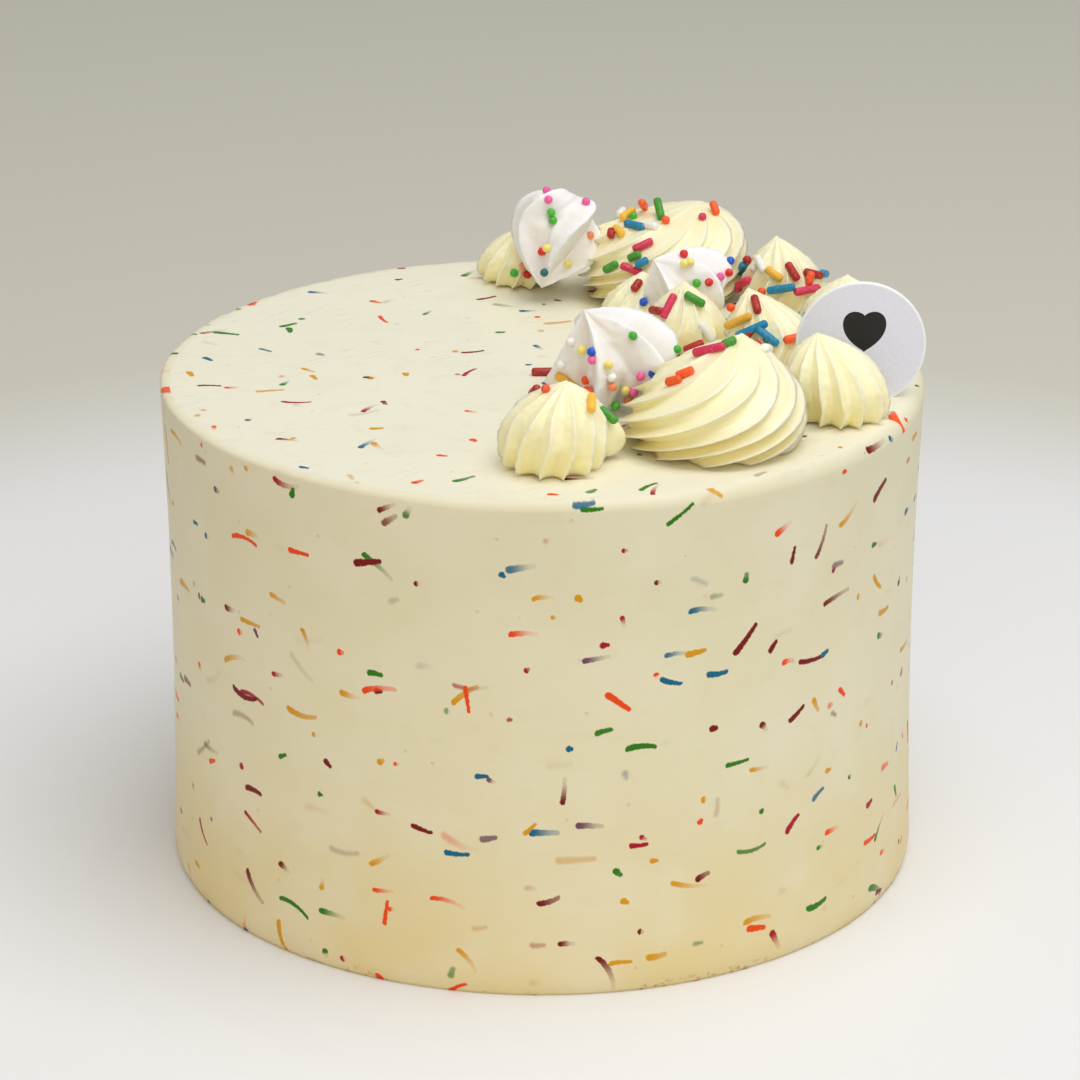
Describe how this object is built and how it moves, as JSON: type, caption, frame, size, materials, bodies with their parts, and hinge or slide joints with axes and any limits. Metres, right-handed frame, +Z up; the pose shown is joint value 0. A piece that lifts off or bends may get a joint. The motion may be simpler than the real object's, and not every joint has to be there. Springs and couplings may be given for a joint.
{
  "type": "confetti birthday cake",
  "caption": "Small tall round iced cake with a crescent of piped swirls, meringues, sprinkles and a blank round card tag on top.",
  "frame": {"origin": "centre of the cake's flat base", "axes": "+Z up, the cake's shortest extent; the side seen in the picture faces -Y and the toppings' crescent runs along +X and +Y"},
  "size_m": [0.152, 0.152, 0.1252],
  "materials": {
    "icing": "smooth cream buttercream, satin",
    "buttercream": "soft pale yellow piped cream, satin",
    "meringue": "dry, matte white",
    "card": "pale, slightly satin"
  },
  "bodies": {
    "root": {"iced_cake": "icing", "piped_star_front_left": "buttercream", "piped_rosette_front": "buttercream", "piped_star_right": "buttercream", "piped_star_middle": "buttercream", "piped_star_centre_right": "buttercream", "piped_star_far_right": "buttercream", "piped_star_back_right": "buttercream", "piped_rosette_back": "buttercream", "piped_star_hidden": "buttercream", "piped_star_back_left": "buttercream", "meringue_front": "meringue", "meringue_back_left": "meringue", "meringue_middle": "meringue", "card_tag": "card"}
  },
  "joints": []
}
